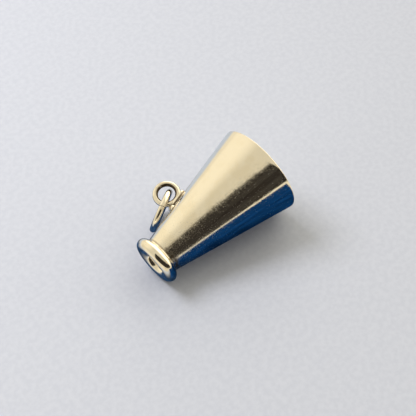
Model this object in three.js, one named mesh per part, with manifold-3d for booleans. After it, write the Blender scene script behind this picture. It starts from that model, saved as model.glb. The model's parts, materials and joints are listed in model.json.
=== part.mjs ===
// A small silver charm in the shape of a megaphone, lying on its side.
// Millimetres, Z up. The horn points along +X, tilted so that the bell rim and the mouthpiece ring
// both rest on the ground, and its carrying loop stands out on the +Y side.
import * as THREE from 'three';
import { mergeVertices } from 'three/addons/utils/BufferGeometryUtils.js';
import Module from 'manifold-3d';

// Horn
const BELL_R = 6.5;
const NECK_R = 2.53;
const HORN_LENGTH = 18;
const WALL = 0.7;
const BORE_R = 1.8;
const RIM_ROUND = 0.15;
const RIM_SOFTEN = 0.06;
const RIM_SOFTEN_LENGTH = 1.3;
const HORN_SEGMENTS = 72;

// Mouthpiece ring
const MOUTH_RING_R = 2.62;
const MOUTH_WIRE_R = 0.81;
const MOUTH_RING_X = -18.69;
const MOUTH_SEGMENTS = 64;
const MOUTH_WIRE_SEGMENTS = 20;

// Solder in the neck
const NECK_FILLET = 0.42;

// Carrying loop and its foot. The loop stands square on the axis, a little above the horizontal.
// The foot is a ridge: wide at the horn, narrow at its top, and slimmer towards the bell.
const BAIL_ROLL = THREE.MathUtils.degToRad(6);
const BAIL_X = -11.43;
const BAIL_H = 6.05;
const BAIL_R = 1.53;
const BAIL_WIRE_R = 0.38;
const BAIL_SEGMENTS = 48;
const BAIL_WIRE_SEGMENTS = 16;
const FOOT_FRONT_X = -9.35;
const FOOT_BACK_X = -12.1;
const FOOT_WIDTH = 1.25;
const FOOT_TOP_SHARE = 0.36;
const FOOT_TOP_SHIFT = 0.14;
const FOOT_FRONT_SHARE = 0.5;
const FOOT_HEIGHT = 0.63;
const FOOT_ROOT = 0.35;
const FOOT_ROUND = 0.12;
const FRONT_TIP = { x: -9.25, length: 0.5, width: 0.3, height: 0.24 };
const BACK_BLOB = { x: -12.3, length: 0.6, width: 0.55, height: 0.66 };

// Jump ring: its centre and the normal of its plane, both in the part's own frame
const JUMP_R = 2.745;
const JUMP_WIRE_R = 0.42;
const JUMP_SEGMENTS = 64;
const JUMP_WIRE_SEGMENTS = 16;
const JUMP_CENTRE = new THREE.Vector3(-12.76, 5.662, 3.071);
const JUMP_NORMAL = new THREE.Vector3(0.4555, -0.8569, -0.2412).normalize();
const JUMP_CUT = 0.06;
const JUMP_CUT_TURN = THREE.MathUtils.degToRad(139);

// Clearance left between pieces that are soldered to one another
const JOINT_GAP = 0.02;

const CONE_SLOPE = (BELL_R - NECK_R) / HORN_LENGTH;
const CONE_ANGLE = Math.atan(CONE_SLOPE);
const TILT = Math.asin((BELL_R - MOUTH_RING_R) / -MOUTH_RING_X);

const wasm = await Module();
wasm.setup();

const silver = (name, color, roughness) => {
  const material = new THREE.MeshStandardMaterial({ color, roughness, metalness: 1 });
  material.name = name;
  return material;
};

function coneRadius(x) {
  return BELL_R + CONE_SLOPE * x;
}

// The piece turned about the X axis from a closed profile of [x, radius] points.
function turned(profile, segments) {
  const points = profile.map(([x, r]) => new THREE.Vector2(r, x));
  points.push(points[0].clone());
  const geometry = new THREE.LatheGeometry(points, segments);
  geometry.rotateZ(-Math.PI / 2);
  return geometry;
}

// Points on an arc of the profile plane, from angle a to angle b (0 along +x, 90 away from axis).
function arc(cx, cr, radius, a, b, steps) {
  const points = [];
  for (let i = 0; i <= steps; i += 1) {
    const t = THREE.MathUtils.degToRad(a + ((b - a) * i) / steps);
    points.push([cx + radius * Math.cos(t), cr + radius * Math.sin(t)]);
  }
  return points;
}

function toManifold(geometry) {
  const bare = new THREE.BufferGeometry();
  bare.setAttribute('position', geometry.getAttribute('position'));
  bare.setIndex(geometry.getIndex());
  const merged = mergeVertices(bare, 1e-4);
  const solid = new wasm.Manifold(new wasm.Mesh({
    numProp: 3,
    vertProperties: new Float32Array(merged.getAttribute('position').array),
    triVerts: new Uint32Array(outwardIndex(merged)),
  }));
  return solid;
}

// Triangle corners in the order that makes every face look outwards.
function outwardIndex(geometry) {
  const position = geometry.getAttribute('position');
  const index = Array.from(geometry.getIndex().array);
  const corner = [new THREE.Vector3(), new THREE.Vector3(), new THREE.Vector3()];
  const kept = [];
  let volume = 0;
  for (let i = 0; i < index.length; i += 3) {
    const [a, b, c] = [index[i], index[i + 1], index[i + 2]];
    if (a !== b && b !== c && c !== a) {
      corner.forEach((v, k) => v.fromBufferAttribute(position, index[i + k]));
      volume += corner[0].dot(corner[1].clone().cross(corner[2]));
      kept.push(a, b, c);
    }
  }
  if (volume > 0) return kept;
  return kept.map((v, i) => kept[i % 3 === 0 ? i : i + (i % 3 === 1 ? 1 : -1)]);
}

function fromManifold(solid) {
  const mesh = solid.getMesh();
  const geometry = new THREE.BufferGeometry();
  geometry.setAttribute('position', new THREE.BufferAttribute(mesh.vertProperties, 3));
  geometry.setIndex(new THREE.BufferAttribute(mesh.triVerts, 1));
  geometry.computeVertexNormals();
  return geometry;
}

// The largest single body of a solid, without crumbs that a cut left behind.
function mainBody(solid) {
  const bodies = solid.decompose();
  bodies.sort((a, b) => b.volume() - a.volume());
  return bodies[0];
}

function piece(name, solid, material) {
  const mesh = new THREE.Mesh(fromManifold(solid), material);
  mesh.name = name;
  return mesh;
}

function makeHorn() {
  const outer = (x) => coneRadius(x) - RIM_SOFTEN * Math.max(0, 1 + x / RIM_SOFTEN_LENGTH) ** 2;
  const softened = [-RIM_SOFTEN_LENGTH, -0.9, -0.5].map((x) => [x, outer(x)]);
  const edge = outer(-RIM_ROUND) - RIM_ROUND;
  const lip = BELL_R - WALL;
  return toManifold(turned([
    [-HORN_LENGTH, BORE_R],
    [-HORN_LENGTH, NECK_R],
    ...softened,
    ...arc(-RIM_ROUND, edge, RIM_ROUND, 90, 0, 3),
    ...arc(-RIM_ROUND, lip + RIM_ROUND, RIM_ROUND, 0, -90, 3),
  ], HORN_SEGMENTS));
}

function makeMouthpieceRing() {
  const seat = -HORN_LENGTH - JOINT_GAP - MOUTH_RING_X;
  const flat = THREE.MathUtils.radToDeg(Math.acos(seat / MOUTH_WIRE_R));
  const section = arc(MOUTH_RING_X, MOUTH_RING_R, MOUTH_WIRE_R, flat, 360 - flat, MOUTH_WIRE_SEGMENTS);
  return toManifold(turned(section, MOUTH_SEGMENTS));
}

// A concave fillet of solder in the corner between the horn and the mouthpiece ring.
function makeNeckSolder() {
  const foot = -HORN_LENGTH;
  const front = foot + NECK_FILLET;
  const onHorn = (x) => coneRadius(x) + JOINT_GAP;
  const top = NECK_R + NECK_FILLET;
  const hollow = [0.25, 0.5, 0.75].map((t) => [
    front - NECK_FILLET * (1 - (1 - t) ** 2),
    onHorn(front) + (top - onHorn(front)) * t ** 2,
  ]);
  const profile = [[foot, onHorn(foot)], [front, onHorn(front)], ...hollow, [foot, top]];
  return toManifold(turned(profile, MOUTH_SEGMENTS));
}

function loopRing(wireRadius) {
  const ring = new THREE.TorusGeometry(BAIL_R, wireRadius, BAIL_WIRE_SEGMENTS, BAIL_SEGMENTS);
  ring.translate(BAIL_X, BAIL_H, 0);
  return toManifold(ring);
}

// The horn's outer surface as a plain solid cone, used to fit other pieces against it.
function hornCore() {
  const reach = JOINT_GAP / Math.cos(CONE_ANGLE);
  const profile = [
    [-HORN_LENGTH, 0],
    [-HORN_LENGTH, NECK_R + reach],
    [0, BELL_R + reach],
    [0, 0],
  ];
  const points = profile.map(([x, r]) => new THREE.Vector2(r, x));
  const cone = new THREE.LatheGeometry(points, 4 * HORN_SEGMENTS);
  cone.rotateZ(-Math.PI / 2);
  return toManifold(cone);
}

// Pinches the bar's sides in towards its top and towards its front end.
function makeRidge(bar, length) {
  const position = bar.getAttribute('position');
  for (let i = 0; i < position.count; i += 1) {
    const up = THREE.MathUtils.clamp(position.getY(i) / FOOT_HEIGHT, 0, 1);
    const ahead = THREE.MathUtils.clamp(position.getX(i) / length + 0.5, 0, 1);
    const base = THREE.MathUtils.lerp(1, FOOT_FRONT_SHARE, ahead);
    const share = THREE.MathUtils.lerp(base, FOOT_TOP_SHARE, up);
    position.setZ(i, position.getZ(i) * share + FOOT_TOP_SHIFT * up);
  }
}

// A round-ended bar lying along the horn's side. Grow thickens it all round.
function footBar(grow) {
  const length = FOOT_FRONT_X - FOOT_BACK_X;
  const middle = (FOOT_FRONT_X + FOOT_BACK_X) / 2;
  const round = FOOT_WIDTH / 2 - FOOT_ROUND;
  const half = length / 2 - FOOT_ROUND - round;
  const plan = new THREE.Shape();
  plan.absarc(half, 0, round, -Math.PI / 2, Math.PI / 2);
  plan.absarc(-half, 0, round, Math.PI / 2, 1.5 * Math.PI);
  const bar = new THREE.ExtrudeGeometry(plan, {
    depth: FOOT_HEIGHT + FOOT_ROOT - FOOT_ROUND + grow,
    bevelThickness: FOOT_ROUND,
    bevelSize: FOOT_ROUND + grow,
    bevelSegments: 3,
    curveSegments: 8,
  });
  bar.translate(0, 0, -FOOT_ROOT);
  bar.rotateX(-Math.PI / 2);
  makeRidge(bar, length);
  bar.rotateZ(CONE_ANGLE);
  bar.translate(middle, coneRadius(middle), 0);
  return toManifold(bar);
}

// A drop of solder on the horn's side, shaped like a squashed egg.
function drop({ x, length, width, height }) {
  const egg = new THREE.SphereGeometry(1, 20, 12);
  egg.scale(length, height, width);
  egg.rotateZ(CONE_ANGLE);
  egg.translate(x, coneRadius(x), 0);
  return toManifold(egg);
}

function makeJumpRing() {
  const ring = toManifold(new THREE.TorusGeometry(JUMP_R, JUMP_WIRE_R, JUMP_WIRE_SEGMENTS, JUMP_SEGMENTS));
  const slit = new THREE.BoxGeometry(4 * JUMP_WIRE_R, JUMP_CUT, 4 * JUMP_WIRE_R);
  slit.translate(JUMP_R, 0, 0);
  slit.rotateZ(JUMP_CUT_TURN);
  return ring.subtract(toManifold(slit));
}

function lowest(object) {
  object.updateMatrixWorld(true);
  return new THREE.Box3().setFromObject(object, true).min.z;
}

// Tilts the charm until the bell rim and the mouthpiece ring are equally low.
function layDown(charm, bell, mouth) {
  let low = 0;
  let high = 2 * TILT;
  for (let i = 0; i < 40; i += 1) {
    const tilt = (low + high) / 2;
    charm.rotation.y = -tilt;
    charm.updateMatrixWorld(true);
    if (lowest(bell) < lowest(mouth)) low = tilt;
    else high = tilt;
  }
  charm.position.z = -Math.min(lowest(bell), lowest(mouth));
}

const polished = silver('polished_silver', 0xe9e2d2, 0.16);
const wireSilver = silver('wire_silver', 0xe6dfd0, 0.2);
const solderSilver = silver('solder_silver', 0xb9aa90, 0.42);

const horn = piece('horn', makeHorn(), polished);
const mouthpieceRing = piece('mouthpiece_ring', makeMouthpieceRing(), polished);
const neckSolder = piece('neck_solder', makeNeckSolder(), solderSilver);

const core = hornCore();
const wideLoop = loopRing(BAIL_WIRE_R + JOINT_GAP);
const taken = core.add(wideLoop).add(footBar(JOINT_GAP));
const foot = mainBody(footBar(0).subtract(core).subtract(wideLoop));

const bail = new THREE.Group();
bail.name = 'bail';
bail.rotation.x = BAIL_ROLL;
bail.add(piece('bail_loop', loopRing(BAIL_WIRE_R), wireSilver));
bail.add(piece('bail_foot', foot, polished));
bail.add(piece('bail_solder_back', mainBody(drop(BACK_BLOB).subtract(taken)), solderSilver));
bail.add(piece('bail_solder_front', mainBody(drop(FRONT_TIP).subtract(taken)), solderSilver));

const charm = new THREE.Group();
charm.name = 'charm';
charm.add(horn, mouthpieceRing, neckSolder, bail);
layDown(charm, horn, mouthpieceRing);

const jumpRing = piece('jump_ring', makeJumpRing(), wireSilver);
jumpRing.quaternion.setFromUnitVectors(new THREE.Vector3(0, 0, 1), JUMP_NORMAL);
jumpRing.position.copy(JUMP_CENTRE);
jumpRing.position.z -= lowest(jumpRing);

const part = new THREE.Group();
part.name = 'megaphone_charm';
part.add(charm, jumpRing);
part.updateMatrixWorld(true);
const box = new THREE.Box3().setFromObject(part, true);
part.position.set(-(box.min.x + box.max.x) / 2, -(box.min.y + box.max.y) / 2, 0);
part.updateMatrixWorld(true);

export default part;
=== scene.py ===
# %% [markdown]
# A small silver charm in the shape of a megaphone, lying on its side: a hollow turned horn, a fat
# ring round its small end, a wire loop soldered to its side on a low foot, and a free jump ring.
# The engineering model fixes every size and place, so the first cell loads it and keeps its box.
# Everything after that is dressing: finer meshes over the same shapes, and the finish of the metal.

# %% Load the fixed frame
import json
import math

import bmesh
import bpy
from mathutils import Matrix, Vector, noise


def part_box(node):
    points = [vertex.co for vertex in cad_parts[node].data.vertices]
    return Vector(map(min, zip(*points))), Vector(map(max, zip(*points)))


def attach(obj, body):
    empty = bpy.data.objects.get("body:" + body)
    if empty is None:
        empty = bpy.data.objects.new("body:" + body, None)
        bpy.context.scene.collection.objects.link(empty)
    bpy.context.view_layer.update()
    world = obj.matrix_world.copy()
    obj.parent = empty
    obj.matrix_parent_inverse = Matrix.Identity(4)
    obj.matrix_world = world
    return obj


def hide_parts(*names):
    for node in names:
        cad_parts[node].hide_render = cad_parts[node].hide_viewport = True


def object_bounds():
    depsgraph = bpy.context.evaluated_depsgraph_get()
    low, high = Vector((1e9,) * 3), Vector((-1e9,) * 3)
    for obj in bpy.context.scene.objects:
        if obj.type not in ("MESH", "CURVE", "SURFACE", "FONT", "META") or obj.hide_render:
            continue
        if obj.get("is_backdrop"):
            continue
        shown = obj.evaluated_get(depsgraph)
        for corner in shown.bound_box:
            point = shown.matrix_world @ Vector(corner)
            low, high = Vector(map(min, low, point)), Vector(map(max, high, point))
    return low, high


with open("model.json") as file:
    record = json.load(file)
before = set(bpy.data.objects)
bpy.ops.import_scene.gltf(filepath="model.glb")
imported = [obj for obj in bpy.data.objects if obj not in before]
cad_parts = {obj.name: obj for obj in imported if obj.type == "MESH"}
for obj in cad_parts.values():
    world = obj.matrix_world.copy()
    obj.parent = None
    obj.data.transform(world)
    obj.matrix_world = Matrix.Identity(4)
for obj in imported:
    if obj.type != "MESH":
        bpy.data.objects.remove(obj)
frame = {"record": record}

cad_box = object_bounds()
print("engineering box", [round(v * 1000, 2) for corner in cad_box for v in corner], "mm")

# %% [markdown]
# The whole charm is modelled upright along its own axis and then laid down. The record's rim mount
# gives the direction of that axis and a point on the rim, and the rim's radius leads from there to
# the centre of the bell. With x along the axis, y to the loop's side and z up across the axis, one
# matrix carries every soldered piece to its place.

# %% Sizes of the charm, and its own axes
MM = 0.001
BELL_R = 6.5 * MM
NECK_R = 2.53 * MM
HORN_LENGTH = 18 * MM
WALL = 0.7 * MM
BORE_R = 1.8 * MM
RIM_MID_R = 6.12 * MM
CONE_SLOPE = (BELL_R - NECK_R) / HORN_LENGTH
CONE_ANGLE = math.atan(CONE_SLOPE)

mounts = {m["name"]: m for m in frame["record"]["mounts"]}
axis = Vector(mounts["bell_rim"]["axis"]).normalized()
side = Vector((0, 1, 0))
lift = axis.cross(side)
bell_centre = Vector(mounts["bell_rim"]["pos_m"]) - lift * RIM_MID_R
lay_down = Matrix((axis, side, lift)).transposed().to_4x4()
lay_down.translation = bell_centre
TILT = math.asin(axis.z)
print("axis tilted", round(math.degrees(TILT), 2), "degrees, bell centre", bell_centre)


def cone_radius(x):
    """The horn's outer radius at a distance x in front of the bell (negative behind it)."""
    return BELL_R + CONE_SLOPE * x


# %% [markdown]
# The camera comes first, because it decides how large every detail will look. It stands to the
# front right of the charm and looks down steeply, a little over half way up from the ground to
# straight overhead, so the horn runs from the lower left to the upper right.

# %% Camera
CAMERA_OFFSET = Vector((-60.48, -55.28, 105.86)) * MM
CAMERA_LOOK = Vector((0.3929, 0.4257, -0.8151))
SENSOR = 36
LENS = 86.54
NEAREST_SEEN = 5 * MM

camera_data = bpy.data.cameras.new("camera")
camera_data.sensor_width = SENSOR
camera_data.lens = LENS
camera_data.clip_start = NEAREST_SEEN
camera = bpy.data.objects.new("camera", camera_data)
camera.location = bell_centre + CAMERA_OFFSET
camera.rotation_mode = "QUATERNION"
camera.rotation_quaternion = CAMERA_LOOK.to_track_quat("-Z", "Y")
bpy.context.scene.collection.objects.link(camera)
bpy.context.scene.camera = camera
print("camera", round(CAMERA_OFFSET.length * 1000), "mm from the bell, lens", LENS)

# %% [markdown]
# A finish is a small network of nodes, and the same few wires come back in every one of them. This
# helper adds a node, sets its options, and either links each input or gives it a plain value, so
# that a material below reads as a short recipe instead of a page of wiring.

# %% A helper for node recipes


def add(tree, kind, inputs=None, **options):
    node = tree.nodes.new(kind)
    for key, value in options.items():
        setattr(node, key, value)
    for key, value in (inputs or {}).items():
        if isinstance(value, bpy.types.NodeSocket):
            tree.links.new(value, node.inputs[key])
        else:
            node.inputs[key].default_value = value
    return node


def math_node(tree, operation, *values, clamp=False):
    inputs = dict(enumerate(values))
    return add(tree, "ShaderNodeMath", inputs, operation=operation, use_clamp=clamp).outputs[0]


def ramp(tree, value, low, high, out_low=0.0, out_high=1.0, smooth=True):
    """The value's place between low and high, carried to the range out_low to out_high."""
    kind = "SMOOTHSTEP" if smooth else "LINEAR"
    inputs = {0: value, 1: low, 2: high, 3: out_low, 4: out_high}
    return add(tree, "ShaderNodeMapRange", inputs, interpolation_type=kind).outputs[0]


def blend_colours(tree, factor, first, second, kind="MIX"):
    inputs = {"Factor": factor, "A": first, "B": second}
    node = add(tree, "ShaderNodeMix", None, data_type="RGBA", blend_type=kind)
    for key, value in inputs.items():
        socket = next(s for s in node.inputs if s.name == key and s.enabled)
        if isinstance(value, bpy.types.NodeSocket):
            tree.links.new(value, socket)
        else:
            socket.default_value = value
    return next(s for s in node.outputs if s.enabled)


print("node helpers ready")

# %% [markdown]
# Polished silver shows almost nothing of its own: it shows the room. So the room matters as much
# as the metal. This one is a soft studio. A broad warm panel fills the far side, a brighter window
# stands in front of the bell and lights its rim, and a dark stand on the near side reaches from the
# horizon to most of the way up. The charm's flank mirrors that stand as a dark band, and the sliver
# of panel under the stand's foot as a bright line. The sky is drawn from the direction alone, and
# the camera itself sees a plain pale backdrop instead.

# %% The room that the silver mirrors
PANEL = (1.04, 0.915, 0.645, 1)
STAND_DARK = (0.034, 0.027, 0.021, 1)
STAND_LIGHT = (0.075, 0.065, 0.050, 1)
BACKDROP = (0.66, 0.72, 0.80, 1)
STAND_AZIMUTH = math.radians(-118)
STAND_HALF_WIDTH = math.radians(62)
STAND_FOOT = math.sin(math.radians(1.25))
STAND_TOP = 0.645
STAND_TOP_SLOPE = -0.78
STAND_TOP_LIMIT = 0.90
PANEL_DIRECTION = (-0.08, 0.90, 0.42)
PANEL_EDGE = 0.70
WINDOW_DIRECTION = (0.98, 0.17, 0.09)
WINDOW_GAIN = 3.0
WINDOW_FADE = (0.45, 0.80)
PANEL_FADE = (0.58, 1.0)
BACKDROP_LIGHT = 0.9
RAGGED = {"Scale": 26.0, "Detail": 4.0}
RAGGED_MIDDLE = (0.35, 0.65)
RAGGED_DEPTH = 0.022
MOTTLED = {"Scale": 9.0, "Detail": 3.0}
MOTTLED_MIDDLE = (0.35, 0.7)
SOFT_SIDE = 0.05
SOFT_EDGE = 0.012
STRAIGHT_UP = 0.001


def lit_from(tree, vector, toward, low, high, out_low, out_high):
    """A soft patch of light around one direction."""
    near = add(tree, "ShaderNodeVectorMath", {0: vector, 1: toward}, operation="DOT_PRODUCT")
    return ramp(tree, near.outputs["Value"], low, high, out_low, out_high)


world = bpy.data.worlds.new("studio")
bpy.context.scene.world = world
world.use_nodes = True
sky = world.node_tree
sky.nodes.clear()
direction = add(sky, "ShaderNodeTexCoord").outputs["Generated"]
parts = add(sky, "ShaderNodeSeparateXYZ", {0: direction}).outputs
east, north, height = parts[0], parts[1], parts[2]

ragged = add(sky, "ShaderNodeTexNoise", {"Vector": direction, **RAGGED})
rag = ramp(sky, ragged.outputs[0], *RAGGED_MIDDLE, -RAGGED_DEPTH, RAGGED_DEPTH, smooth=False)
toward = math_node(
    sky, "ADD",
    math_node(sky, "MULTIPLY", east, math.cos(STAND_AZIMUTH)),
    math_node(sky, "MULTIPLY", north, math.sin(STAND_AZIMUTH)),
)
level = math_node(sky, "SQRT", math_node(
    sky, "ADD",
    math_node(sky, "MULTIPLY", east, east),
    math_node(sky, "MULTIPLY", north, north),
))
bearing = math_node(sky, "DIVIDE", toward, math_node(sky, "MAXIMUM", level, STRAIGHT_UP))
edge = math.cos(STAND_HALF_WIDTH)
in_width = ramp(sky, bearing, edge - SOFT_SIDE, edge + SOFT_SIDE)
over_foot = ramp(sky, height, STAND_FOOT - SOFT_EDGE, STAND_FOOT + SOFT_EDGE)
top = math_node(sky, "MINIMUM", math_node(
    sky, "MULTIPLY_ADD", east, STAND_TOP_SLOPE, STAND_TOP), STAND_TOP_LIMIT)
under_top = ramp(sky, math_node(sky, "SUBTRACT", math_node(sky, "ADD", top, rag), height),
                 -SOFT_EDGE, SOFT_EDGE)
stand = math_node(sky, "MULTIPLY", math_node(sky, "MULTIPLY", in_width, over_foot), under_top)

mottle = add(sky, "ShaderNodeTexNoise", {"Vector": direction, **MOTTLED})
mottling = ramp(sky, mottle.outputs[0], *MOTTLED_MIDDLE)
stand_colour = blend_colours(sky, mottling, STAND_DARK, STAND_LIGHT)
shown = blend_colours(sky, stand, PANEL, stand_colour)
panel_light = lit_from(sky, direction, PANEL_DIRECTION, *PANEL_FADE, PANEL_EDGE, 1.0)
window_light = lit_from(sky, direction, WINDOW_DIRECTION, *WINDOW_FADE, 1.0, WINDOW_GAIN)
power = math_node(sky, "MULTIPLY", panel_light, window_light)
mirrored = add(sky, "ShaderNodeBackground", {"Color": shown, "Strength": power}).outputs[0]
seen = add(sky, "ShaderNodeBackground", {"Color": BACKDROP, "Strength": BACKDROP_LIGHT}).outputs[0]
straight = add(sky, "ShaderNodeLightPath").outputs["Is Camera Ray"]
mixed = add(sky, "ShaderNodeMixShader", {0: straight, 1: mirrored, 2: seen}).outputs[0]
add(sky, "ShaderNodeOutputWorld", {"Surface": mixed})
print("sky with", len(sky.nodes), "nodes")

# %% [markdown]
# One large warm lamp on the far left gives the charm its soft shadow on the near right. It is kept
# out of reflections, because its square edges would show in the polished metal, where the sky
# already draws the bright side of the room.

# %% Key lamp
LAMP_AZIMUTH = math.radians(112)
LAMP_HEIGHT = math.radians(52)
LAMP_DISTANCE = 260 * MM
LAMP_SIZE = 120 * MM
LAMP_POWER = 0.42
LAMP_COLOUR = (1.0, 0.93, 0.82)

lamp_data = bpy.data.lights.new("key_lamp", "AREA")
lamp_data.shape = "DISK"
lamp_data.size = LAMP_SIZE
lamp_data.energy = LAMP_POWER
lamp_data.color = LAMP_COLOUR
lamp = bpy.data.objects.new("key_lamp", lamp_data)
lamp_direction = Vector((
    math.cos(LAMP_AZIMUTH) * math.cos(LAMP_HEIGHT),
    math.sin(LAMP_AZIMUTH) * math.cos(LAMP_HEIGHT),
    math.sin(LAMP_HEIGHT),
))
lamp.location = lamp_direction * LAMP_DISTANCE
lamp.rotation_mode = "QUATERNION"
lamp.rotation_quaternion = (-lamp_direction).to_track_quat("-Z", "Y")
lamp.visible_glossy = False
bpy.context.scene.collection.objects.link(lamp)
bpy.context.scene.view_settings.view_transform = "Standard"
print("lamp at", [round(v * 1000) for v in lamp.location], "mm")

# %% [markdown]
# The charm lies on a plain pale sheet of paper with a very faint grain. Silver is only as handsome
# as what it mirrors, though, and a pale sheet all round would leave its lower half without shape.
# So the Light Path node shows the metal another floor, a painted reflection: a small dark blue
# cloth under the charm, and a bright glowing table past the cloth's edges, cool close by and warm
# further off. Each edge is a soft step along one direction. The cloth carries a painted shadow: it
# is darker on the near right side, where the charm's shadow falls, and lighter elsewhere. It also
# glows faintly, a painted light that keeps the shade beside the charm from going quite black. All
# of it is stage, not part of the object.

# %% Pale floor
FLOOR_REACH = 3.0
PAPER_LOW = (0.49, 0.556, 0.77, 1)
PAPER_HIGH = (0.53, 0.596, 0.81, 1)
CLOTH_SHADED = (0.003, 0.028, 0.112, 1)
CLOTH_LIT = (0.020, 0.052, 0.135, 1)
CLOTH_GLOW = 0.28
CLOTH_SHADE_SIDE = (0.45, -0.89, 0)
CLOTH_SHADE_EDGE = (-1 * MM, 4 * MM)
CLOTH_FAR_SIDE = (0.26, 0.966, 0)
CLOTH_FAR_EDGE = (4 * MM, 15 * MM)
CLOTH_AHEAD_EDGE = (13.5 * MM, 17 * MM)
CLOTH_BACK_EDGE = (10.5 * MM, 15 * MM)
CLOTH_NEAR_EDGE = (112 * MM, 130 * MM)
TABLE_GLOW = 0.86
TABLE_PALE = (0.66, 0.72, 0.80, 1)
TABLE_WARM_SIDE = (-0.217, 0.976, 0)
TABLE_WARM_EDGE = (26 * MM, 50 * MM)
TABLE_WARM_BACK = (14 * MM, 19 * MM)
PAPER_GRAIN = {"Scale": 1400.0, "Detail": 3.0}
PAPER_ROUGHNESS = 0.85
CLOTH_FOLDS = {"Scale": 260.0, "Detail": 4.0}
FOLD_TONES = (0.55, 1.45)
NOISE_MIDDLE = (0.3, 0.7)
AHEAD, BEHIND, NEAR_SIDE = (1, 0, 0), (-1, 0, 0), (0, -1, 0)

floor_mesh = bpy.data.meshes.new("floor")
bm = bmesh.new()
bmesh.ops.create_grid(bm, x_segments=1, y_segments=1, size=FLOOR_REACH)
bm.to_mesh(floor_mesh)
bm.free()
floor = bpy.data.objects.new("floor", floor_mesh)
bpy.context.scene.collection.objects.link(floor)

paper = bpy.data.materials.new("pale_paper")
paper.use_nodes = True
tree = paper.node_tree
tree.nodes.clear()
where = add(tree, "ShaderNodeTexCoord").outputs["Object"]
grain = add(tree, "ShaderNodeTexNoise", {"Vector": where, **PAPER_GRAIN})
tone = blend_colours(tree, ramp(tree, grain.outputs[0], *NOISE_MIDDLE), PAPER_LOW, PAPER_HIGH)
matt = add(tree, "ShaderNodeBsdfPrincipled", {"Base Color": tone, "Roughness": PAPER_ROUGHNESS})

# Painted shadow: the cloth is darker on the near right side, where the charm's shadow falls.
shaded = lit_from(tree, where, CLOTH_SHADE_SIDE, *CLOTH_SHADE_EDGE, 0.0, 1.0)
lit_and_shaded_cloth = blend_colours(tree, shaded, CLOTH_LIT, CLOTH_SHADED)
folds = add(tree, "ShaderNodeTexNoise", {"Vector": where, **CLOTH_FOLDS})
fold_tone = ramp(tree, folds.outputs[0], *NOISE_MIDDLE, *FOLD_TONES)
lit_and_shaded_cloth = blend_colours(tree, 1.0, lit_and_shaded_cloth, fold_tone, "MULTIPLY")
# The cloth glows faintly: painted light that lifts the shade beside the charm.
cloth = add(tree, "ShaderNodeBsdfPrincipled", {
    "Base Color": lit_and_shaded_cloth,
    "Roughness": 1.0,
    "Specular IOR Level": 0.0,
    "Emission Color": lit_and_shaded_cloth,
    "Emission Strength": CLOTH_GLOW,
})
far = lit_from(tree, where, CLOTH_FAR_SIDE, *CLOTH_FAR_EDGE, 0.0, 1.0)
ahead = lit_from(tree, where, AHEAD, *CLOTH_AHEAD_EDGE, 0.0, 1.0)
near = lit_from(tree, where, NEAR_SIDE, *CLOTH_NEAR_EDGE, 0.0, 1.0)
back = lit_from(tree, where, BEHIND, *CLOTH_BACK_EDGE, 0.0, 1.0)
cool_side = math_node(tree, "MAXIMUM", far, back)
off_cloth = math_node(tree, "MAXIMUM", cool_side, math_node(tree, "MAXIMUM", ahead, near))
warm_far = lit_from(tree, where, TABLE_WARM_SIDE, *TABLE_WARM_EDGE, 0.0, 1.0)
warm_back = lit_from(tree, where, BEHIND, *TABLE_WARM_BACK, 0.0, 1.0)
cool = math_node(tree, "SUBTRACT", cool_side, math_node(tree, "MAXIMUM", warm_far, warm_back),
                 clamp=True)
table_colour = blend_colours(tree, cool, PANEL, TABLE_PALE)
table = add(tree, "ShaderNodeEmission", {"Color": table_colour, "Strength": TABLE_GLOW})
under = add(tree, "ShaderNodeMixShader", {0: off_cloth, 1: cloth.outputs[0], 2: table.outputs[0]})
in_mirror = add(tree, "ShaderNodeLightPath").outputs["Is Glossy Ray"]
surface = add(tree, "ShaderNodeMixShader", {0: in_mirror, 1: matt.outputs[0], 2: under.outputs[0]})
add(tree, "ShaderNodeOutputMaterial", {"Surface": surface.outputs[0]})
floor_mesh.materials.append(paper)
floor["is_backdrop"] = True
print("floor", FLOOR_REACH * 2, "m across")

# %% [markdown]
# The marks on a turned and polished piece run along it and round it, so the metal needs to know
# where each point lies on the turning. These two helpers read the object's place in millimetres in
# the piece's own axes, and unroll it: how far along, how far round, and how far out. A scratch is
# then only noise that is stretched one way.

# %% Places on a turned piece
SILVER_CLEAN = (0.93, 0.90, 0.845, 1)
SILVER_WARM = (0.87, 0.815, 0.71, 1)
TARNISH = (0.30, 0.21, 0.12, 1)
PATINA = (0.085, 0.062, 0.045, 1)
SCUFF_ROUGHNESS = 0.45
HAIR_ROUGHNESS = 0.16
TARNISH_ROUGHNESS = 0.30
SCUFF_DEPTH = 0.0003
HAIR_DEPTH = 0.0010
CLOUDS = {"Scale": 0.45, "Detail": 5.0}
CLOUD_MIDDLE = (0.42, 0.68)
WARMEST = 0.55
SCUFFS = {"Scale": 5.5, "Detail": 6.0, "Roughness": 0.65}
SCUFF_MIDDLE = (0.43, 0.80)
SLOW_SWELL = {"Scale": 0.55, "Detail": 1.0}


def new_finish(name):
    material = bpy.data.materials.new(name)
    material.use_nodes = True
    material.node_tree.nodes.clear()
    return material, material.node_tree


def own_axes(tree, place):
    """Object coordinates in millimetres, along the axes of the matrix place."""
    where = add(tree, "ShaderNodeTexCoord").outputs["Object"]
    inputs = {
        "Vector": where,
        "Location": place.translation,
        "Rotation": place.to_euler("XYZ"),
        "Scale": (MM, MM, MM),
    }
    return add(tree, "ShaderNodeMapping", inputs, vector_type="TEXTURE").outputs[0]


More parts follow.
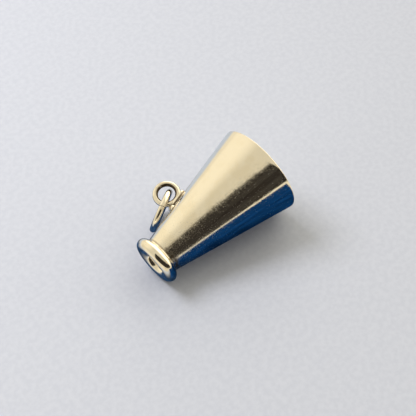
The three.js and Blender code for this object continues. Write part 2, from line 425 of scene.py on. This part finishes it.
def unroll(tree, vector, turn_axis, radius):
    """(along, round, out) in millimetres for a piece turned about turn_axis at a radius."""
    xyz = add(tree, "ShaderNodeSeparateXYZ", {0: vector}).outputs
    along, first, second = {"X": (xyz[0], xyz[1], xyz[2]), "Z": (xyz[2], xyz[1], xyz[0])}[turn_axis]
    angle = math_node(tree, "ARCTAN2", first, second)
    out = math_node(tree, "SQRT", math_node(
        tree, "ADD", math_node(tree, "MULTIPLY", first, first),
        math_node(tree, "MULTIPLY", second, second)))
    rounds = math_node(tree, "MULTIPLY", angle, radius)
    return along, rounds, out


def join_xyz(tree, x, y, z):
    return add(tree, "ShaderNodeCombineXYZ", {0: x, 1: y, 2: z}).outputs[0]


def streaks(tree, vector, stretch, low, high, detail=2.0):
    """Thin marks: noise per millimetre in each direction, kept only where it passes low to high."""
    squeezed = add(tree, "ShaderNodeMapping", {"Vector": vector, "Scale": stretch}).outputs[0]
    pattern = add(tree, "ShaderNodeTexNoise", {"Vector": squeezed, "Scale": 1.0, "Detail": detail})
    return ramp(tree, pattern.outputs[0], low, high)


print("helpers for turned metal ready")

# %% [markdown]
# One recipe gives every finish of the metal. It starts from clean warm silver, adds brown where a
# mask asks for it, which is tarnish, and on the horn and the foot also painted shade, and roughens
# the mirror with hairline scratches in two directions. A slow swell, a few thousandths of a
# millimetre deep, bends the reflections the way hand polishing does. Each finish differs only in
# its numbers and in where tarnish and painted shade gather.

# %% The recipe for silver


def silver(tree, mapped, hairs, tarnish_and_shade, rough, swell, wear=0.3, relief=None, stain_and_shade=TARNISH):
    """Wires the shader: marks, tarnish and painted shade run from 0 to 1, heights are in
    millimetres.
    """
    cloud = add(tree, "ShaderNodeTexNoise", {"Vector": mapped, **CLOUDS})
    warmth = ramp(tree, cloud.outputs[0], *CLOUD_MIDDLE, 0.0, WARMEST)
    colour = blend_colours(tree, warmth, SILVER_CLEAN, SILVER_WARM)
    # The brown goes where tarnish is, and on the horn and the foot also where shade is painted.
    colour = blend_colours(tree, tarnish_and_shade, colour, stain_and_shade)
    scuff = add(tree, "ShaderNodeTexNoise", {"Vector": mapped, **SCUFFS})
    scuffs = ramp(tree, scuff.outputs[0], *SCUFF_MIDDLE, 0.0, wear)
    worn = math_node(tree, "MULTIPLY_ADD", scuffs, SCUFF_ROUGHNESS, rough)
    scratched = math_node(tree, "MULTIPLY_ADD", hairs, HAIR_ROUGHNESS, worn)
    roughness = math_node(tree, "MULTIPLY_ADD", tarnish_and_shade, TARNISH_ROUGHNESS, scratched, clamp=True)
    slow = add(tree, "ShaderNodeTexNoise", {"Vector": mapped, **SLOW_SWELL})
    body = math_node(tree, "MULTIPLY", slow.outputs[0], swell)
    body = math_node(tree, "MULTIPLY_ADD", scuff.outputs[0], SCUFF_DEPTH, body)
    if relief is not None:
        body = math_node(tree, "ADD", body, relief)
    body = math_node(tree, "MULTIPLY_ADD", hairs, -HAIR_DEPTH, body)
    bump = add(tree, "ShaderNodeBump", {"Height": body, "Strength": 1.0, "Distance": MM})
    shader = add(tree, "ShaderNodeBsdfPrincipled", {
        "Base Color": colour,
        "Metallic": 1.0,
        "Roughness": roughness,
        "Normal": bump.outputs[0],
    })
    add(tree, "ShaderNodeOutputMaterial", {"Surface": shader.outputs[0]})


print("silver recipe ready")

# %% [markdown]
# The horn's tarnish gathers in the crease at the neck, where a polishing wheel can't reach. Round
# the foot of the loop it is painted dark as well: partly tarnish, and partly painted shade and a
# painted dark reflection of the loop. These helpers give every finish its places, and measure how
# close a point lies to the foot. The loop is rolled a few degrees, so the foot's line is too.

# %% Places on the horn
BAIL_ROLL = math.radians(6)
FOOT_MIDDLE_X = -10.7
FOOT_HALF_LENGTH = 1.2
HORN_MIDDLE_R = 4.5
SHADE_AND_TARNISH_FRONT = (-9.2, -10.8)
SHADE_AND_TARNISH_BACK = (-14.2, -12.2)
SHADE_AND_TARNISH_WIDTH = (2.2, 0.8)
DARKEST_SHADE_AND_TARNISH = 0.7
FOOT_SHADE_AND_TARNISH_EDGE = (1.25, 0.60)
LOOP_SIDE = (0.0, 1.0)


def silver_axes(name, place, turn_axis, radius):
    """A new finish with its tree, its place in millimetres, and the same place unrolled."""
    material, tree = new_finish(name)
    mapped = own_axes(tree, place)
    along, rounds, out = unroll(tree, mapped, turn_axis, radius)
    return material, tree, mapped, along, out, join_xyz(tree, along, rounds, out)


def shade_and_tarnish_near_foot(tree, mapped, along):
    """Painted shade and tarnish round the foot, wide and then tight, and which side of the horn it
    is.
    """
    upward = (0, -math.sin(BAIL_ROLL), math.cos(BAIL_ROLL))
    across = add(tree, "ShaderNodeVectorMath", {0: mapped, 1: upward}, operation="DOT_PRODUCT")
    past = math_node(tree, "ABSOLUTE", math_node(tree, "SUBTRACT", along, FOOT_MIDDLE_X))
    beyond = math_node(tree, "MAXIMUM", math_node(tree, "SUBTRACT", past, FOOT_HALF_LENGTH), 0.0)
    reach = math_node(tree, "SQRT", math_node(
        tree, "MULTIPLY_ADD", beyond, beyond,
        math_node(tree, "MULTIPLY", across.outputs["Value"], across.outputs["Value"])))
    side_y = add(tree, "ShaderNodeSeparateXYZ", {0: mapped}).outputs[1]
    aside = math_node(tree, "ABSOLUTE", across.outputs["Value"])
    under = math_node(
        tree, "MULTIPLY", ramp(tree, along, *SHADE_AND_TARNISH_FRONT), ramp(tree, along, *SHADE_AND_TARNISH_BACK))
    wide_shade_and_tarnish = math_node(tree, "MULTIPLY", ramp(tree, aside, *SHADE_AND_TARNISH_WIDTH, 0.0, DARKEST_SHADE_AND_TARNISH), under)
    return wide_shade_and_tarnish, ramp(tree, reach, *FOOT_SHADE_AND_TARNISH_EDGE), ramp(tree, side_y, *LOOP_SIDE)


print("places on the horn ready")

# %% [markdown]
# The horn is the cleanest mirror, a little duller towards the neck, where fingers and the wheel
# reach less. Its rim is scuffed from knocking on things, and one old curved scratch runs part of
# the way round, near the bell. Along the middle the wheel skipped a little, which leaves short
# ripples that fray the reflections. Each kind of mark is noise stretched its own way.

# %% Finish of the horn
HAIR_ALONG = {"stretch": (0.5, 16.0, 1.0), "low": 0.67, "high": 0.76}
HAIR_ROUND = {"stretch": (17.0, 0.6, 1.0), "low": 0.69, "high": 0.77}
HAIR_ROUND_SHARE = 0.7
NECK_EDGE = (-16.5, -17.4)
NECK_SIDE = (-0.5, -1.2)
CREASE_EDGE = (-17.45, -17.65)
CREASE_SHARE = 0.6
PATCHES = {"stretch": (2.4, 2.4, 2.4), "low": 0.40, "high": 0.56, "detail": 4.0}
HORN_TARNISH_AND_SHADE = 0.9
# Brown of the tarnish at the neck, and of the painted shade round the foot.
TARNISH_AND_SHADE_BROWN = (0.13, 0.09, 0.055, 1)
RIM_EDGE = (-0.22, -0.08)
RIM_NICKS = {"stretch": (1.0, 5.0, 5.0), "low": 0.5, "high": 0.6}
OLD_SCRATCH_X = -3.7
OLD_SCRATCH_EDGE = (0.07, 0.02)
OLD_SCRATCH = {"stretch": (0.1, 0.35, 0.1), "low": 0.45, "high": 0.55, "detail": 0.0}
RIPPLE_HEIGHT = 0.009
RIPPLE_FADE = (-13.5, -9.0)
RIPPLE_PLACES = {"stretch": (0.16, 0.16, 0.16), "low": 0.40, "high": 0.58, "detail": 1.0}
RIPPLE_STRETCH = (3.4, 1.7, 1.0)
RIPPLE = {"Scale": 1.0, "Detail": 3.0}
DULL_FADE = (-6.0, -16.5)
POLISH_AT_BELL = 0.05
POLISH_AT_NECK = 0.13
HORN_SWELL = 0.006
HORN_WEAR = 0.68

polished, tree, mapped, along, _, rolled = silver_axes(
    "polished_silver", lay_down, "X", HORN_MIDDLE_R)
hair_along = streaks(tree, rolled, **HAIR_ALONG)
hair_round = streaks(tree, rolled, **HAIR_ROUND)
side_y = add(tree, "ShaderNodeSeparateXYZ", {0: mapped}).outputs[1]
neck = math_node(tree, "MULTIPLY", ramp(tree, along, *NECK_EDGE), ramp(tree, side_y, *NECK_SIDE))
crease = ramp(tree, along, *CREASE_EDGE)
patchy = streaks(tree, mapped, **PATCHES)
# Round the foot the horn is painted dark: shade, a dark reflection of the loop, and tarnish.
wide_shade_and_tarnish, tight_shade_and_tarnish, loop_side = shade_and_tarnish_near_foot(tree, mapped, along)
tarnish_and_shade_spots = math_node(tree, "MULTIPLY", math_node(
    tree, "MAXIMUM", neck, math_node(tree, "MULTIPLY", wide_shade_and_tarnish, loop_side)), patchy)
tarnish_and_shade_spots = math_node(tree, "MAXIMUM", tarnish_and_shade_spots, math_node(tree, "MULTIPLY", tight_shade_and_tarnish, loop_side))
horn_tarnish_and_shade = math_node(tree, "MAXIMUM", tarnish_and_shade_spots, math_node(tree, "MULTIPLY", crease, CREASE_SHARE))
rim = ramp(tree, along, *RIM_EDGE)
nicked = math_node(tree, "MULTIPLY", rim, streaks(tree, rolled, **RIM_NICKS))
off_line = math_node(tree, "ABSOLUTE", math_node(tree, "SUBTRACT", along, OLD_SCRATCH_X))
scratch = math_node(tree, "MULTIPLY", ramp(tree, off_line, *OLD_SCRATCH_EDGE),
                    streaks(tree, rolled, **OLD_SCRATCH))
marks = math_node(tree, "MAXIMUM", hair_along, math_node(tree, "MAXIMUM", scratch, nicked))
marks = math_node(tree, "MAXIMUM", marks, math_node(tree, "MULTIPLY", hair_round, HAIR_ROUND_SHARE))
where_rippled = math_node(tree, "MULTIPLY", ramp(tree, along, *RIPPLE_FADE),
                          streaks(tree, mapped, **RIPPLE_PLACES))
squeezed = add(tree, "ShaderNodeMapping", {"Vector": rolled, "Scale": RIPPLE_STRETCH}).outputs[0]
ripple = add(tree, "ShaderNodeTexNoise", {"Vector": squeezed, **RIPPLE})
rippled = math_node(tree, "MULTIPLY", math_node(
    tree, "MULTIPLY", ripple.outputs[0], RIPPLE_HEIGHT), where_rippled)
dull = ramp(tree, along, *DULL_FADE, POLISH_AT_BELL, POLISH_AT_NECK)
horn_tarnish_and_shade_amount = math_node(tree, "MULTIPLY", horn_tarnish_and_shade, HORN_TARNISH_AND_SHADE)
silver(tree, mapped, marks, horn_tarnish_and_shade_amount, dull, HORN_SWELL, wear=HORN_WEAR, relief=rippled,
       stain_and_shade=TARNISH_AND_SHADE_BROWN)
print("horn finish with", len(tree.nodes), "nodes")

# %% [markdown]
# Drawn wire keeps faint lines along its length, and a ring that swings on another ring is rubbed
# dull where they touch. The same recipe serves the loop, the jump ring and the fat mouthpiece ring,
# with the scratches unrolled about each ring's own axis. The loop's inner wall, which no wheel can
# reach, has kept a nearly black patina, so a range of radius may be given where that sets in.

# %% Finishes of the rings
DRAW_LINES = {"stretch": (12.0, 0.8, 12.0), "low": 0.62, "high": 0.74}
WIRE_NICKS = {"stretch": (5.0, 5.0, 5.0), "low": 0.70, "high": 0.78, "detail": 3.0}
WIRE_FILM = {"stretch": (0.9, 0.9, 0.9), "low": 0.5, "high": 0.75, "detail": 4.0}
WIRE_FILM_SHARE = 0.22
PATINA_WORN = {"stretch": (1.6, 1.6, 1.6), "low": 0.20, "high": 0.45, "detail": 3.0}
RING_SWELL = 0.006
MOUTH_ROUGHNESS = 0.075
MOUTH_MIDDLE_R = 2.6


def ring_finish(name, place, turn_axis, radius, rough, inside=None):
    material, tree, mapped, _, out, rolled = silver_axes(name, place, turn_axis, radius)
    lines = streaks(tree, rolled, **DRAW_LINES)
    nicks = streaks(tree, mapped, **WIRE_NICKS)
    film = math_node(tree, "MULTIPLY", streaks(tree, mapped, **WIRE_FILM), WIRE_FILM_SHARE)
    if inside:
        broken = streaks(tree, mapped, **PATINA_WORN)
        dark = math_node(tree, "MULTIPLY", ramp(tree, out, *inside), broken)
        film = math_node(tree, "MAXIMUM", film, dark)
    silver(tree, mapped, math_node(tree, "MAXIMUM", lines, nicks), film, rough, RING_SWELL,
           stain_and_shade=PATINA if inside else TARNISH)
    return material


mouth_finish = ring_finish("mouthpiece_silver", lay_down, "X", MOUTH_MIDDLE_R, MOUTH_ROUGHNESS)
print("mouthpiece finish ready")

# %% [markdown]
# Solder freezes with a skin like old wax: lumpy, duller than the silver round it, a little yellow,
# and pitted where flux boiled out. The file has brightened its tops and left its hollows brown,
# most of all in the neck, which gets an even film of tarnish under the patches.

# %% Finish of the solder
PITS = {"stretch": (3.5, 3.5, 3.5), "low": 0.56, "high": 0.68, "detail": 3.0}
STAINS = {"stretch": (1.3, 1.3, 1.3), "low": 0.45, "high": 0.7, "detail": 3.0}
STAIN_SHARE = 0.45
NECK_FILM_EDGE = (-16.9, -17.3)
NECK_FILM = 0.35
SOLDER_ROUGHNESS = 0.12
SOLDER_SWELL = 0.012

solder, tree, mapped, along, _, rolled = silver_axes(
    "solder_silver", lay_down, "X", HORN_MIDDLE_R)
pits = streaks(tree, mapped, **PITS)
film = ramp(tree, along, *NECK_FILM_EDGE, 0.0, NECK_FILM)
stains = math_node(tree, "MULTIPLY_ADD", streaks(tree, mapped, **STAINS), STAIN_SHARE, film)
silver(tree, mapped, pits, stains, SOLDER_ROUGHNESS, SOLDER_SWELL)
print("solder finish with", len(tree.nodes), "nodes")

# %% [markdown]
# The foot of the loop gets painted shade: its ridge keeps the clean silver, and its sides are
# painted brown, as shade with tarnish, nearly black towards the loop, where the shade is deepest.
# How high a point stands over the cone tells the ridge from the side.

# %% Finish of the foot
FOOT_SHADE_BROWN = (0.20, 0.145, 0.09, 1)
FOOT_LIT_RIDGE_ABOVE = (0.44, 0.32)
FOOT_SHADE_AND_TARNISH_BLOTCHES = {"stretch": (2.6, 2.6, 2.6), "low": 0.10, "high": 0.50, "detail": 4.0}
FOOT_SHADE_AND_TARNISH = 0.95
FOOT_GRAIN = {"stretch": (1.0, 12.0, 12.0), "low": 0.62, "high": 0.74}
FOOT_DEEP_SHADE_EDGE = (-9.9, -10.9)
FOOT_ROUGHNESS = 0.09
FOOT_SWELL = 0.008

foot_finish, tree, mapped, along, out, rolled = silver_axes(
    "foot_silver", lay_down, "X", HORN_MIDDLE_R)
cone = math_node(tree, "MULTIPLY_ADD", along, CONE_SLOPE, BELL_R / MM)
rise = math_node(tree, "SUBTRACT", out, cone)
# The sides below the ridge are painted darker, as shade and tarnish; the ridge is left clean.
shaded_foot_side = ramp(tree, rise, *FOOT_LIT_RIDGE_ABOVE)
foot_shade_blotches = math_node(tree, "MULTIPLY", shaded_foot_side, streaks(tree, mapped, **FOOT_SHADE_AND_TARNISH_BLOTCHES))
foot_shade_and_tarnish_amount = math_node(tree, "MULTIPLY", foot_shade_blotches, FOOT_SHADE_AND_TARNISH)
grain = streaks(tree, rolled, **FOOT_GRAIN)
foot_shade_colour = blend_colours(tree, ramp(tree, along, *FOOT_DEEP_SHADE_EDGE), FOOT_SHADE_BROWN, PATINA)
silver(tree, mapped, grain, foot_shade_and_tarnish_amount, FOOT_ROUGHNESS, FOOT_SWELL, stain_and_shade=foot_shade_colour)
print("foot finish with", len(tree.nodes), "nodes")

# %% [markdown]
# A turned piece is made as on a lathe: its section is drawn once, and spun about the axis. The spin
# tool can weld its first and last copies, so the result is one closed skin. Since a spin can come
# out inside out, the normals are worked out again at the end.

# %% Helpers to make and place a piece
ROUND_STEPS = 160
SAME_POINT = 1e-7
CREASE_DEGREES = 40


def spin_section(bm, turn_axis, steps=ROUND_STEPS):
    bmesh.ops.spin(bm, geom=bm.verts[:] + bm.edges[:], cent=(0, 0, 0), axis=turn_axis,
                   angle=2 * math.pi, steps=steps, use_merge=True)
    bmesh.ops.remove_doubles(bm, verts=bm.verts, dist=SAME_POINT)
    bmesh.ops.recalc_face_normals(bm, faces=bm.faces)


def draw_section(bm, points):
    """A closed outline of (along, out) points in the plane of the axis."""
    verts = [bm.verts.new((x, 0, r)) for x, r in points]
    for first, second in zip(verts, verts[1:] + verts[:1]):
        bm.edges.new((first, second))


def add_piece(bm, name, node, body, material, place):
    bmesh.ops.transform(bm, matrix=place, verts=bm.verts)
    mesh = bpy.data.meshes.new(name)
    bm.to_mesh(mesh)
    bm.free()
    mesh.shade_smooth()
    mesh.set_sharp_from_angle(angle=math.radians(CREASE_DEGREES))
    mesh.materials.append(material)
    piece = bpy.data.objects.new(name, mesh)
    bpy.context.scene.collection.objects.link(piece)
    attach(piece, body)
    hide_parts(node)
    low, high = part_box(node)
    size = [round((b - a) * 1000, 2) for a, b in zip(low, high)]
    print(name, len(mesh.polygons), "faces, stands for a node of", size, "mm")


print("lathe helpers ready")

# %% [markdown]
# The horn is one open shell of cast and turned silver, with a wall a little under a millimetre. It
# could be a cone with a Solidify modifier, but a spun section holds the true bore and the true rim.
# The wheel has softened the last stretch before the rim, so the outline falls away a little there,
# and both corners of the rim are rounded with a bevel after the spin.

# %% Horn
RIM_ROUND = 0.15 * MM
RIM_SOFTEN = 0.048 * MM
RIM_SOFTEN_LENGTH = 0.7 * MM
RIM_SOFTEN_POWER = 3
RIM_STEPS = 7
RIM_BEVEL_STEPS = 5


def softened_radius(x):
    return cone_radius(x) - RIM_SOFTEN * max(0.0, 1 + x / RIM_SOFTEN_LENGTH) ** RIM_SOFTEN_POWER


bm = bmesh.new()
near_rim = [-RIM_SOFTEN_LENGTH * (1 - i / RIM_STEPS) for i in range(RIM_STEPS + 1)]
section = [(-HORN_LENGTH, BORE_R), (-HORN_LENGTH, NECK_R)]
section += [(x, softened_radius(x)) for x in near_rim]
section += [(0, BELL_R - WALL)]
draw_section(bm, section)
spin_section(bm, (1, 0, 0))
rim_edges = [e for e in bm.edges if all(abs(v.co.x) < SAME_POINT for v in e.verts)
             and abs(e.verts[0].co.yz.length - e.verts[1].co.yz.length) < 10 * SAME_POINT]
bmesh.ops.bevel(bm, geom=rim_edges, offset=RIM_ROUND, offset_type="OFFSET",
                segments=RIM_BEVEL_STEPS, profile=0.5, affect="EDGES", material=-1)
add_piece(bm, "horn_shell", "horn", "charm", polished, lay_down)

# %% [markdown]
# The mouthpiece ring is a plain donut of thick round wire, hard against the end of the horn. A
# circle drawn as its section and spun about the horn's axis is all it needs.

# %% Mouthpiece ring
MOUTH_RING_R = 2.62 * MM
MOUTH_WIRE_R = 0.81 * MM
MOUTH_RING_X = -18.69 * MM
MOUTH_WIRE_SIDES = 48


def wire_section(bm, radius, centre, segments, filled=False):
    """A circle of wire in the plane of the X and Z axes, at centre."""
    turn = Matrix.Rotation(math.radians(90), 4, "X")
    bmesh.ops.create_circle(bm, cap_ends=filled, segments=segments, radius=radius,
                            matrix=Matrix.Translation(centre) @ turn)


bm = bmesh.new()
wire_section(bm, MOUTH_WIRE_R, (MOUTH_RING_X, 0, MOUTH_RING_R), MOUTH_WIRE_SIDES)
spin_section(bm, (1, 0, 0))
add_piece(bm, "mouthpiece_donut", "mouthpiece_ring", "charm", mouth_finish,
          lay_down)

# %% [markdown]
# Solder runs into the crease between horn and ring and draws up both sides, so its outline is
# hollow. It never flows evenly: after the spin every point is pushed in or out by smooth noise, a
# few hundredths of a millimetre, while its edges stay buried in the metal on both sides.

# %% Solder in the neck
NECK_FILLET = 0.42 * MM
FILLET_STEPS = 8
LUMP_PER_METRE = 900
NECK_LUMP = 0.035 * MM
NECK_SEED = 3
SUNK_IN_HORN = 0.02 * MM
SUNK_DEEPER = 0.05 * MM
SUNK_IN_RING = 0.12 * MM


def lumpy(bm, amount, seed):
    """Moves each point along its normal by smooth noise that repeats on every run."""
    bm.normal_update()
    shift = Vector((seed, 0, 0))
    for vert in bm.verts:
        vert.co += vert.normal * noise.noise(vert.co * LUMP_PER_METRE + shift) * amount


bm = bmesh.new()
front = -HORN_LENGTH + NECK_FILLET
tip_r = NECK_R + NECK_FILLET
on_horn = cone_radius(front) - SUNK_IN_HORN
section = [(-HORN_LENGTH - SUNK_DEEPER, NECK_R - 2 * SUNK_DEEPER), (front, on_horn - SUNK_DEEPER)]
for i in range(FILLET_STEPS + 1):
    t = i / FILLET_STEPS
    section.append((front - NECK_FILLET * (1 - (1 - t) ** 2), on_horn + (tip_r - on_horn) * t ** 2))
section.append((-HORN_LENGTH - SUNK_IN_RING, tip_r - SUNK_DEEPER))
draw_section(bm, section)
spin_section(bm, (1, 0, 0))
lumpy(bm, NECK_LUMP, NECK_SEED)
add_piece(bm, "neck_fillet", "neck_solder", "charm", solder, lay_down)

# %% [markdown]
# The carrying loop is a closed ring of round wire that stands out from the horn's side, in the
# plane of the axis, rolled a few degrees above the horizontal. It is spun like the donut, but about
# its own axis, in a frame that sits at the middle of the loop.

# %% Carrying loop
BAIL_X = -11.43 * MM
BAIL_H = 6.05 * MM
BAIL_R = 1.53 * MM
BAIL_WIRE_R = 0.38 * MM
BAIL_WIRE_SIDES = 32
BAIL_STEPS = 112
BAIL_ROUGHNESS = 0.09
BAIL_PATINA_EDGE = (1.47, 1.32)

bail_place = lay_down @ Matrix.Rotation(BAIL_ROLL, 4, "X")
loop_place = bail_place @ Matrix.Translation((BAIL_X, BAIL_H, 0))
loop_finish = ring_finish("loop_silver", loop_place, "Z", BAIL_R / MM, BAIL_ROUGHNESS,
                          inside=BAIL_PATINA_EDGE)
bm = bmesh.new()
wire_section(bm, BAIL_WIRE_R, (BAIL_R, 0, 0), BAIL_WIRE_SIDES)
spin_section(bm, (0, 0, 1), steps=BAIL_STEPS)
add_piece(bm, "carrying_loop", "bail_loop", "charm", loop_finish, loop_place)

# %% [markdown]
# The loop is not soldered straight to the horn: it stands on a low ridge, which spreads the load
# along the side. The ridge starts as a bar with round ends, extruded outwards, with its top edge
# rounded over. Then its sides are pinched in, more towards the top and towards the bell. Its root
# goes a third of a millimetre into the wall, as a cast piece's would.

# %% Foot of the loop
FOOT_FRONT_X = -9.35 * MM
FOOT_BACK_X = -12.1 * MM
FOOT_WIDTH = 1.25 * MM
FOOT_TOP_SHARE = 0.36
FOOT_TOP_SHIFT = 0.14 * MM
FOOT_FRONT_SHARE = 0.5
FOOT_HEIGHT = 0.63 * MM
FOOT_ROOT = 0.35 * MM
FOOT_ROUND = 0.14 * MM
FOOT_END_STEPS = 16
FOOT_BEVEL_STEPS = 4


def on_side(x):
    """A frame on the horn's side at x: along the slope, straight out, and across."""
    return (bail_place @ Matrix.Translation((x, cone_radius(x), 0))
            @ Matrix.Rotation(CONE_ANGLE, 4, "Z"))


bm = bmesh.new()
end_r = FOOT_WIDTH / 2
half = (FOOT_FRONT_X - FOOT_BACK_X) / 2 - end_r
outline = []
for end, start in ((half, -90), (-half, 90)):
    for i in range(FOOT_END_STEPS + 1):
        turn = math.radians(start + 180 * i / FOOT_END_STEPS)
        outline.append(bm.verts.new((end + end_r * math.cos(turn), -FOOT_ROOT,
                                     end_r * math.sin(turn))))
plan = bm.faces.new(outline)
risen = bmesh.ops.extrude_face_region(bm, geom=[plan])["geom"]
top_verts = [g for g in risen if isinstance(g, bmesh.types.BMVert)]
for vert in top_verts:
    vert.co.y = FOOT_HEIGHT
top_edges = [e for e in bm.edges if all(v.co.y > 0 for v in e.verts)]
bmesh.ops.bevel(bm, geom=top_edges, offset=FOOT_ROUND, offset_type="OFFSET",
                segments=FOOT_BEVEL_STEPS, profile=0.5, affect="EDGES", material=-1)
for vert in bm.verts:
    up = min(max(vert.co.y / FOOT_HEIGHT, 0), 1)
    ahead = min(max(vert.co.x / (FOOT_FRONT_X - FOOT_BACK_X) + 0.5, 0), 1)
    base = 1 + (FOOT_FRONT_SHARE - 1) * ahead
    vert.co.z = vert.co.z * (base + (FOOT_TOP_SHARE - base) * up) + FOOT_TOP_SHIFT * up
bmesh.ops.recalc_face_normals(bm, faces=bm.faces)
foot_place = on_side((FOOT_FRONT_X + FOOT_BACK_X) / 2)
add_piece(bm, "foot_ridge", "bail_foot", "charm", foot_finish, foot_place)

# %% [markdown]
# Two drops of solder finish the joint: a fat one behind the loop, where the wire was fed in, and a
# small pointed one drawn out in front of the foot. Each is a squashed ball, pushed about by noise
# so that it looks frozen, and half sunk into the metal under it.

# %% Solder at the foot
BACK_DROP = {"x": -12.3 * MM, "length": 0.58 * MM, "height": 0.64 * MM, "width": 0.53 * MM}
FRONT_DROP = {"x": -9.25 * MM, "length": 0.48 * MM, "height": 0.22 * MM, "width": 0.28 * MM}
DROP_LUMP = 0.05 * MM
DROP_ROUNDNESS = 5
BACK_SEED = 5
FRONT_SEED = 8


def solder_drop(name, node, drop, seed):
    bm = bmesh.new()
    bmesh.ops.create_icosphere(bm, subdivisions=DROP_ROUNDNESS, radius=1)
    squash = Matrix.Diagonal((drop["length"], drop["height"], drop["width"], 1))
    bmesh.ops.transform(bm, matrix=squash, verts=bm.verts)
    lumpy(bm, DROP_LUMP, seed)
    add_piece(bm, name, node, "charm", solder, on_side(drop["x"]))


solder_drop("solder_behind_loop", "bail_solder_back", BACK_DROP, BACK_SEED)
solder_drop("solder_before_foot", "bail_solder_front", FRONT_DROP, FRONT_SEED)

# %% [markdown]
# The jump ring is the one piece that moves. It is a turn of wire sawn through once and closed
# again, so a hair of a gap is left, with both cut ends slightly rounded. Its section starts at one
# side of the cut and is spun almost all the way round to the other.

# %% Jump ring
JUMP_R = 2.745 * MM
JUMP_WIRE_R = 0.42 * MM
JUMP_CUT = 0.06 * MM
JUMP_CUT_TURN = math.radians(139)
JUMP_NORMAL = Vector((0.4555, -0.8569, -0.2412)).normalized()
END_ROUND = 0.03 * MM
END_BEVEL_STEPS = 3
JUMP_WIRE_SIDES = 32
JUMP_ROUGHNESS = 0.08

low, high = (Vector(corner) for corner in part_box("jump_ring"))
jump_place = Vector((0, 0, 1)).rotation_difference(JUMP_NORMAL).to_matrix().to_4x4()
jump_place.translation = (low + high) / 2
jump_finish = ring_finish("jump_silver", jump_place, "Z", JUMP_R / MM, JUMP_ROUGHNESS)

bm = bmesh.new()
wire_section(bm, JUMP_WIRE_R, (JUMP_R, 0, 0), JUMP_WIRE_SIDES, filled=True)
gap_angle = JUMP_CUT / JUMP_R
bmesh.ops.rotate(bm, verts=bm.verts, cent=(0, 0, 0),
                 matrix=Matrix.Rotation(JUMP_CUT_TURN + gap_angle / 2, 3, "Z"))
bmesh.ops.spin(bm, geom=bm.verts[:] + bm.edges[:] + bm.faces[:], cent=(0, 0, 0), axis=(0, 0, 1),
               angle=2 * math.pi - gap_angle, steps=ROUND_STEPS, use_merge=False)
bmesh.ops.recalc_face_normals(bm, faces=bm.faces)
end_edges = [e for e in bm.edges if any(len(f.verts) > 4 for f in e.link_faces)]
bmesh.ops.bevel(bm, geom=end_edges, offset=END_ROUND, offset_type="OFFSET",
                segments=END_BEVEL_STEPS, profile=0.5, affect="EDGES", material=-1)
add_piece(bm, "open_jump_ring", "jump_ring", "jump_ring", jump_finish, jump_place)

# %% [markdown]
# The last cell prints the box of the dressed charm next to that of the engineering model, so that
# the dressing can be shown to have changed the surface and not the size.

# %% Sizes before and after, and the end
bpy.context.view_layer.update()
visual_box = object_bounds()
for name, box in (("engineering", cad_box), ("dressed", visual_box)):
    print(name, [round((b - a) * 1000, 3) for a, b in zip(*box)], "mm")
